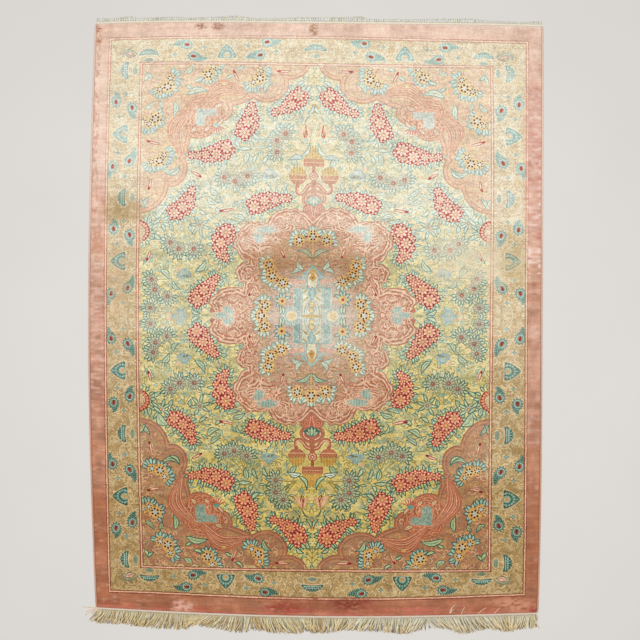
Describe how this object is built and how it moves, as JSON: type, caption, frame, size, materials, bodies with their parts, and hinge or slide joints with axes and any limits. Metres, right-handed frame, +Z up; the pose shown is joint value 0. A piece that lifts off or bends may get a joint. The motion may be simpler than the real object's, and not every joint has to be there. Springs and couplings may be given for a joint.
{
  "type": "persian rug",
  "caption": "Hand-knotted silk rug lying flat, with a central medallion on a yellow field, a gold main border, overcast sides, a long fringe at one end and a short one at the other.",
  "frame": {"origin": "on the floor under the middle of the rug, fringes counted in", "axes": "+X across the rug, +Y along it towards the end with the short fringe, +Z up from the floor"},
  "size_m": [1.3647, 1.8592, 0.0055],
  "materials": {
    "pile_silk": "soft cut silk pile, medallion design in rose, gold, yellow, teal and light blue",
    "binding_silk": "silk yarn overcast round the outer warps, pale rose",
    "warp_thread": "bare ivory warp threads and flat-woven ends, matt"
  },
  "bodies": {
    "root": {"rug_body": "pile_silk", "selvedge_left": "binding_silk", "selvedge_right": "binding_silk", "fringe_near": "warp_thread", "fringe_far": "warp_thread"}
  },
  "joints": []
}
